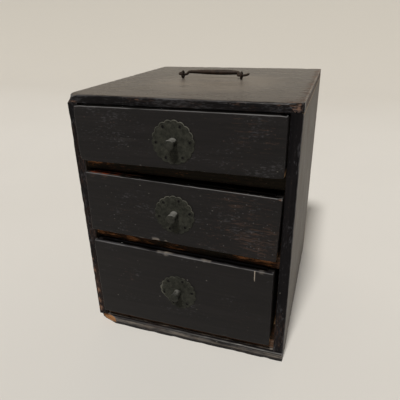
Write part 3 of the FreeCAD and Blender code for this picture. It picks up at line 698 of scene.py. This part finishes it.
def slopeRim(co):
    sizes = drawers["bottom"]
    low, high = sizes["low"] * mm, sizes["high"] * mm
    return Vector((co.x, co.y, low + (co.z - low) * (high - low - co.x * lowerSlope) / (high - low)))


drawerShapes = {"top": None, "middle": standMiddle, "bottom": slopeRim}
wallDrop, rearDrop, rearFace, lapLength = 2.5 * mm, 6 * mm, 111.6 * mm, 22 * mm
for name, sizes in drawers.items():
    left, right, low, high = (sizes[key] * mm for key in ("left", "right", "low", "high"))
    front = sizes["front"] * mm
    wallFront = front + frontLip
    body = f"{name}_drawer"
    rim = high - wallDrop
    fall = lowerSlope * right if name == "bottom" else 0.0
    rise = -lowerSlope * (left + wallThick) if name == "bottom" else 0.0
    makeBoard(
        f"{name}Front", f"{name}_drawer_front", body, "stained_wood", stainedWood, sizes["seed"],
        Vector((left, front, low)), Vector((right, wallFront, high)), drawerShapes[name], addInnerSlab,
        step=2.8, arris=0.9, nick=0.5, cornerWear=0.7, joined=((1, -1),), **frontWear[name])
    stand = standMiddle if name == "middle" else None
    boxes = {
        "left_side": ((left, wallFront, low + floorThick), (left + wallThick, rearFace, rim + rise), "y"),
        "right_side": ((right - wallThick, wallFront, low + floorThick), (right, rearFace, rim - fall), "y"),
        "back": ((left + wallThick, rearFace - wallThick, low + floorThick),
                 (right - wallThick, rearFace, high - rearDrop - fall), "x"),
        "bottom": ((left, wallFront, low), (right, rearFace, low + floorThick), "y"),
    }
    for number, (piece, (lowest, highest, along)) in enumerate(boxes.items()):
        seed = sizes["seed"] + 0.6 + number * 0.73
        makeBoard(
            f"{name}-{piece}".replace("_", "-"), f"{name}_drawer_{piece}", body, "bare_wood", bareWood,
            seed, Vector(lowest), Vector(highest), stand, grain=along, step=8.0,
            arris=0.6, nick=0.25, wave=0.1, cornerWear=0.2,
            lapped=wallFront + lapLength if piece.endswith("side") else None)
print("drawers made")


# Pull plates: a spun disc with a scalloped, beaded rim and pierced holes
plate = {
    "rings": (2.0, 3.2, 4.6, 6.2, 8.0, 9.8, 11.4, 12.8, 13.8, 14.5, 15.0, 15.5, 16.0, 16.4, 16.9, 17.4,
              17.9, 18.4, 18.9, 19.3, 19.6, 19.9, 20.15, 20.4, 20.6, 20.7),
    "steps": 216, "radius": 20.7, "lobes": 18, "lobe": 4.2, "holes": 6, "holeRing": 16.2, "hole": 1.1,
    "sheet": 0.3, "base": 0.72, "bead": 0.2, "groove": 0.12, "boss": 0.2, "dent": 0.08,
    "beadAt": 0.968, "beadWidth": 0.02, "bossEdge": (4.8, 8.0), "drawnFrom": 0.55, "holeShadeReach": 0.35,
    "biteAt": math.radians(222), "biteWidth": 0.55, "smearAt": 3.3, "smearRing": 0.93, "smearWidth": 0.06,
}
pulls = {
    "top": {
        "x": 0.5, "z": 233.3, "turn": 3.0, "bite": 0.0, "shine": 1.0, "grimeAndShade": 0.0, "smear": 0.0,
        "seed": 1.0},
    "middle": {
        "x": -3.6, "z": 160.3, "turn": 13.0, "bite": 0.0, "shine": 0.95, "grimeAndShade": 0.0, "smear": 0.0,
        "seed": 2.0},
    "bottom": {
        "x": -3.3, "z": 68.4, "turn": 8.0, "bite": 0.22, "shine": 0.45, "grimeAndShade": 0.15, "smear": 0.6,
        "seed": 3.0},
}


def scallop(angle):
    # reach of the rim at an angle, as a share of the plate's radius
    pitch = 2 * math.pi / plate["lobes"]
    off = (angle + pitch / 2) % pitch - pitch / 2
    centre = plate["radius"] - plate["lobe"]
    reach = centre * math.cos(off) + math.sqrt(plate["lobe"] ** 2 - (centre * math.sin(off)) ** 2)
    return reach / plate["radius"]


def spinRow(places, axis, steps):
    bm = bmesh.new()
    row = [bm.verts.new(place) for place in places]
    line = [bm.edges.new(pair) for pair in zip(row, row[1:])]
    bmesh.ops.spin(
        bm, geom=row + line, cent=(0, 0, 0), axis=axis, angle=2 * math.pi, steps=steps, use_merge=True)
    bmesh.ops.remove_doubles(bm, verts=bm.verts, dist=1e-6)
    return bm


def makePlate(pull, front):
    bm = spinRow([(ring * mm, 0, 0) for ring in plate["rings"]], (0, -1, 0), plate["steps"])
    for i in range(plate["holes"]):
        angle = 2 * math.pi * i / plate["holes"]
        spot = Vector((math.cos(angle), 0, math.sin(angle))) * plate["holeRing"] * mm
        size = plate["hole"] * mm
        inside = [face for face in bm.faces if (face.calc_center_median() - spot).length < size * 0.95]
        bmesh.ops.delete(bm, geom=inside, context="FACES")
        for vert in bm.verts:
            if vert.is_boundary and (vert.co - spot).length < size * 1.6:
                vert.co = spot + (vert.co - spot).normalized() * size
    marks = bm.verts.layers.float_vector.new("marks")
    shift = Vector((pull["seed"] * 7.3, 0, pull["seed"] * 3.1))
    turn, holePitch = math.radians(pull["turn"]), 2 * math.pi / plate["holes"]
    for vert in bm.verts:
        radius = math.hypot(vert.co.x, vert.co.z) / mm
        angle = math.atan2(vert.co.z, vert.co.x)
        rim = scallop(angle)
        gap = math.remainder(angle + turn - plate["biteAt"], 2 * math.pi)
        rim *= 1 - pull["bite"] * math.exp(-(gap / plate["biteWidth"]) ** 2)
        share = radius / plate["radius"]
        drawn = 1 + (rim - 1) * smooth(share, plate["drawnFrom"], 1.0)
        bead = math.exp(-((share - plate["beadAt"]) / plate["beadWidth"]) ** 2)
        groove = min(1.0, (1 - rim) / 0.06) * smooth(share, 0.72, 0.9)
        boss = 1 - smooth(radius, *plate["bossEdge"])
        ripple = noise.noise(vert.co * 130 + shift)
        patchy = noise.noise(vert.co * 45 - shift)
        out = plate["base"] + plate["bead"] * bead - plate["groove"] * groove
        out += plate["boss"] * boss + plate["dent"] * ripple - 0.5 * smooth(share, 0.975, 1.0)
        # the bead is rubbed lighter, most towards the top: painted highlight where light falls from above
        lit = smooth(math.sin(angle + turn), -0.3, 0.7)
        rubbed = pull["shine"] * bead * (0.1 + 0.9 * lit) * (0.9 + 0.6 * patchy) + 0.15 * ripple
        smeared = math.exp(-((share - plate["smearRing"]) / plate["smearWidth"]) ** 2)
        smeared *= smooth(math.cos(angle + turn - plate["smearAt"]), 0.3, 0.9)
        rubbed += pull["smear"] * smeared
        # a dark ring round each hole: painted shade
        holeAway = math.hypot(radius - plate["holeRing"], radius * math.remainder(angle, holePitch))
        holeAway -= plate["hole"]
        grimeAndShade = max(pull["grimeAndShade"] * (1 - bead), 1.1 * (1 - smooth(holeAway, 0.0, plate["holeShadeReach"])))
        vert[marks] = (rubbed, grimeAndShade, 0)
        vert.co.x *= drawn
        vert.co.z *= drawn
        vert.co.y = -min(1.0, max(out, plate["sheet"] + 0.02)) * mm
    back = bmesh.ops.extrude_face_region(bm, geom=bm.faces[:])["geom"]
    bmesh.ops.translate(bm, vec=(0, plate["sheet"] * mm, 0), verts=vertsOf(back))
    bmesh.ops.recalc_face_normals(bm, faces=bm.faces)
    bmesh.ops.rotate(bm, cent=(0, 0, 0), matrix=Matrix.Rotation(-turn, 3, "Y"), verts=bm.verts)
    bmesh.ops.translate(bm, vec=(pull["x"] * mm, front, pull["z"] * mm), verts=bm.verts)
    return bm


# Knobs: a spun post, faceted, with a shank through the front and legs clinched behind it
knob = {
    "profile": ((0.0, 4.4), (0.5, 4.45), (1.1, 4.3), (3.0, 4.2), (5.0, 4.4), (7.2, 4.68), (8.9, 4.9),
                (9.3, 4.85), (9.65, 4.6), (9.9, 4.1), (10.2, 2.9), (10.4, 1.5), (10.5, 0.0)),
    "steps": 48, "facets": 8, "facet": 0.95, "hammer": 0.1, "shank": 2.0, "legs": (22.0, 1.1, 3.0),
    "foot": 1.0, "behind": 0.6, "facetFrom": (0.5, 2.0), "facetTo": (9.3, 10.0),
}


def makeKnob(pull, front):
    shankEnd = frontThick + knob["behind"] * mm
    inside = [(0.0, shankEnd), (knob["shank"], shankEnd), (knob["shank"], -knob["foot"] * mm)]
    outside = [(radius, -(out + knob["foot"]) * mm) for out, radius in knob["profile"]]
    bm = spinRow([(radius * mm, y, 0) for radius, y in inside + outside], (0, 1, 0), knob["steps"])
    legs = bmesh.ops.create_cube(bm, size=1.0)["verts"]
    bmesh.ops.scale(bm, vec=Vector(knob["legs"]) * mm, verts=legs)
    bmesh.ops.translate(bm, vec=(0, frontThick + knob["legs"][1] * mm / 2, 0), verts=legs)
    legEdges = {edge for vert in legs for edge in vert.link_edges}
    bmesh.ops.subdivide_edges(bm, edges=[edge for edge in legEdges if edge.calc_length() > 0.01], cuts=7)
    bmesh.ops.recalc_face_normals(bm, faces=bm.faces)
    bm.normal_update()
    marks = bm.verts.layers.float_vector.new("marks")
    shift = Vector((0, pull["seed"] * 5.9, 0))
    pitch = 2 * math.pi / knob["facets"]
    for vert in bm.verts:
        out = -vert.co.y / mm - knob["foot"]
        if out < 0:
            if vert.co.y > frontThick - 0.1 * mm:  # hammered legs get narrower to their tips
                vert.co.z *= 1 - 0.55 * (vert.co.x / (knob["legs"][0] * mm / 2)) ** 2
            vert[marks] = (0.35, 0, 0)
            continue
        angle = math.atan2(vert.co.z, vert.co.x)
        off = (angle + pitch / 2) % pitch - pitch / 2
        amount = knob["facet"] * smooth(out, *knob["facetFrom"]) * (1 - smooth(out, *knob["facetTo"]))
        size = 1 - amount * (1 - math.cos(pitch / 2) / math.cos(off))
        size -= knob["hammer"] * 0.12 * (noise.noise(vert.co * 260 + shift) + 1)
        vert.co.x *= size
        vert.co.z *= size
        ridge = smooth(abs(off) / (pitch / 2), 0.7, 1.0) * amount
        # the top flank is lighter: painted highlight where light falls from above, with rubbed wear
        worn = smooth(vert.normal.z, 0.35, 0.85) * (1.05 - 0.3 * smooth(out, 4, 9.5)) + 0.15 * ridge
        vert[marks] = (min(1.0, 0.05 + worn * pull["shine"]), pull["grimeAndShade"] * 0.6, 0)
    bmesh.ops.translate(bm, vec=(pull["x"] * mm, front, pull["z"] * mm), verts=bm.verts)
    return bm


for name, pull in pulls.items():
    front = drawers[name]["front"] * mm
    makers = {
        "plate": (makePlate, f"{name}_pull_plate", "plate_metal", plateMetal),
        "knob": (makeKnob, f"{name}_pull_knob", "knob_metal", knobMetal),
    }
    for part, (maker, node, slotName, finish) in makers.items():
        bm = maker(pull, front)
        if name == "middle":
            bmesh.ops.rotate(
                bm, cent=middlePivot, matrix=Matrix.Rotation(math.atan(lowerSlope), 3, "Y"), verts=bm.verts)
        addPiece(f"{name}-pull-{part}", meshFrom(bm, part), finish, f"{name}_drawer", node)
print("pulls made")


# Forged handle and its two staples, drawn as tapered bars along a smooth line of x, y, z, radius
def forgeBar(name, points, finish, body, node, seed, hammer):
    curve = bpy.data.curves.new(name, "CURVE")
    curve.dimensions = "3D"
    curve.bevel_depth = 1.0 * mm
    curve.bevel_resolution = 5
    curve.resolution_u = 8
    curve.use_fill_caps = True
    spline = curve.splines.new("NURBS")
    spline.points.add(len(points) - 1)
    for point, (x, y, z, radius) in zip(spline.points, points):
        point.co = (x * mm, y * mm, z * mm, 1.0)
        point.radius = radius
    spline.order_u = 3
    spline.use_endpoint_u = True
    holder = bpy.data.objects.new(name + "-line", curve)
    scene.collection.objects.link(holder)
    bpy.context.view_layer.update()
    drawn = bpy.data.meshes.new_from_object(holder.evaluated_get(bpy.context.evaluated_depsgraph_get()))
    bpy.data.objects.remove(holder)
    bpy.data.curves.remove(curve)
    bm = bmesh.new()
    bm.from_mesh(drawn)
    bpy.data.meshes.remove(drawn)
    bmesh.ops.remove_doubles(bm, verts=bm.verts, dist=1e-6)
    bmesh.ops.recalc_face_normals(bm, faces=bm.faces)
    bm.normal_update()
    marks = bm.verts.layers.float_vector.new("marks")
    shift = Vector((seed * 3.7, seed * 1.9, seed * 6.1))
    for vert in bm.verts:
        beat = noise.noise(vert.co * 190 + shift)
        # the upward side of the iron is lighter: painted highlight where light falls from above, with
        # hammered wear
        vert[marks] = (max(0.0, 0.15 + 0.5 * vert.normal.z * (0.6 + beat)), 0, 0)
        vert.co -= vert.normal * (beat + 1) * 0.5 * hammer * mm
    return addPiece(name, meshFrom(bm, name), finish, body, node)


handle = {"x": -4.0, "y": 5.0, "z": 274.2, "rest": 15.0}
handleLine = [  # across, out from the pivot line, radius
    (-37.9, 5.4, 0.95), (-39.7, 3.6, 1.2), (-39.1, 0.7, 1.4), (-36.3, -0.2, 1.5), (-33.6, 0.0, 1.45),
    (-30.6, 0.0, 1.5), (-29.9, 1.8, 1.6), (-30.1, 5.6, 1.7), (-29.4, 7.9, 1.8), (-25.5, 8.1, 1.95),
    (-16.0, 8.2, 2.4), (-5.0, 8.1, 2.9), (6.0, 8.0, 3.0), (16.0, 7.9, 2.9), (25.5, 7.9, 2.45),
    (29.2, 7.6, 2.05), (30.1, 5.4, 1.75), (29.9, 1.8, 1.6), (30.6, 0.0, 1.5), (34.0, 0.0, 1.45),
    (37.0, 0.4, 1.5), (39.4, 1.8, 1.5), (41.3, 4.2, 1.4), (41.9, 5.3, 1.0),
]
lean = math.radians(handle["rest"])
forgeBar(
    "carryHandle",
    [(handle["x"] + across, handle["y"] + out * math.cos(lean), handle["z"] + out * math.sin(lean), radius)
     for across, out, radius in handleLine],
    forgedIron, "handle", "carry_handle", 1.0, 0.22)

stapleLine = [  # along y from the eye's centre, height, radius
    (-11.0, 261.4, 0.5), (-7.0, 261.35, 0.6), (-1.0, 261.4, 0.65), (-0.85, 263.0, 0.8), (-0.85, 268.0, 0.9),
    (-0.9, 271.2, 1.1), (-2.9, 271.4, 1.1), (-3.7, 274.2, 1.1), (-2.5, 276.9, 1.1), (0.0, 277.9, 1.1),
    (2.5, 276.9, 1.1), (3.7, 274.2, 1.1), (2.9, 271.4, 1.1), (0.9, 271.2, 1.1), (0.85, 268.0, 0.9),
    (0.85, 263.0, 0.8), (1.0, 261.4, 0.65), (7.0, 261.35, 0.6), (11.0, 261.4, 0.5),
]
for hand, across, seed in (("left", -38.5, 2.0), ("right", 30.5, 3.0)):
    forgeBar(
        f"{hand}HandleStaple", [(across, handle["y"] + y, z, radius) for y, z, radius in stapleLine],
        forgedIron, "case", f"{hand}_handle_staple", seed, 0.12)
print("handle made")


# Pegs stay as they are, hidden in the joints
for node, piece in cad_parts.items():
    if node.endswith("pegs"):
        piece.data.materials.clear()
        piece.data.materials.append(pegWood)


# Pale floor that curves up into a backdrop
stage = {
    "floor": colour(0.66, 0.642, 0.606), "worn": colour(0.64, 0.62, 0.582), "far": colour(0.49, 0.466, 0.42),
    "upper": colour(0.535, 0.462, 0.37),
    "farReach": (0.2, 2.6), "upperReach": (0.5, 1.1),
    "front": -4.0, "back": 3.0, "half": 6.0, "height": 5.0, "curve": 1.5,
}
floorFinish, floorRoot = newFinish("paleFloor")
floorPlace = floorRoot.add("TexCoord", None, None, out=3)
floorCloud = floorPlace.stretch((2.2, 2.2, 2.2)).cloud(3.0).fade(0.2, 0.8)
floorColour = floorCloud.between(stage["floor"], stage["worn"])
floorColour = floorPlace.part(1).fade(*stage["farReach"]).between(floorColour, stage["far"])
setShader(floorFinish, {
    "Base Color": floorPlace.part(2).fade(*stage["upperReach"]).between(floorColour, stage["upper"]),
    "Roughness": 0.9, "Specular IOR Level": 0.1,
})
bm = bmesh.new()
corners = [(-1, "front"), (1, "front"), (1, "back"), (-1, "back")]
bm.faces.new([bm.verts.new((side * stage["half"], stage[end], 0)) for side, end in corners])
backEdge = [edge for edge in bm.edges if all(vert.co.y > 0 for vert in edge.verts)]
wall = bmesh.ops.extrude_edge_only(bm, edges=backEdge)["geom"]
bmesh.ops.translate(bm, vec=(0, 0, stage["height"]), verts=vertsOf(wall))
roundOver(bm, [edge for edge in bm.edges if len(edge.link_faces) == 2], stage["curve"], 24)
bmesh.ops.recalc_face_normals(bm, faces=bm.faces)
floor = bpy.data.objects.new("floor", meshFrom(bm, "floor"))
floor.data.materials.append(floorFinish)
floor.data.shade_smooth()
scene.collection.objects.link(floor)


# One soft lamp from above and in front, a weak even fill, and a pale room for what is seen or mirrored
lamp = {"towards": (-0.03, -0.54, 0.84), "strength": 3.35, "angle": 9.0}
light = bpy.data.lights.new("key", "SUN")
light.energy = lamp["strength"]
light.angle = math.radians(lamp["angle"])
light.color = (1.0, 0.98, 0.95)
holder = bpy.data.objects.new("key", light)
holder.rotation_euler = (-Vector(lamp["towards"])).to_track_quat("-Z", "Y").to_euler()
holder.location = Vector(lamp["towards"]) * 2
scene.collection.objects.link(holder)

room = {"fill": colour(1.0, 0.985, 0.96), "fillStrength": 0.07, "seen": colour(0.62, 0.6, 0.56)}
world = bpy.data.worlds.new("room")
world.use_nodes = True
worldRoot = Shade(world.node_tree)
seen = worldRoot.maths("MAXIMUM", worldRoot.add("LightPath", out=0), worldRoot.add("LightPath", out=3))
fill = worldRoot.add("Background", None, {"Color": room["fill"], "Strength": room["fillStrength"]})
pale = worldRoot.add("Background", None, {"Color": room["seen"], "Strength": 1.0})
mixed = worldRoot.add("MixShader", None, {0: seen, 1: fill, 2: pale})
world.node_tree.links.new(mixed.out, world.node_tree.nodes["World Output"].inputs["Surface"])
scene.world = world
scene.view_settings.view_transform = "Standard"

view = {"spot": (0.13212, -0.44157, 0.33134), "turn": (65.524, 1.152, 18.431), "lens": 35.665}
camera = bpy.data.objects.new("camera", bpy.data.cameras.new("camera"))
camera.location = view["spot"]
camera.rotation_euler = [math.radians(angle) for angle in view["turn"]]
camera.data.lens = view["lens"]
camera.data.sensor_width = 36.0
camera.data.clip_start = 0.01
scene.collection.objects.link(camera)
scene.camera = camera
print("stage, light and camera set")
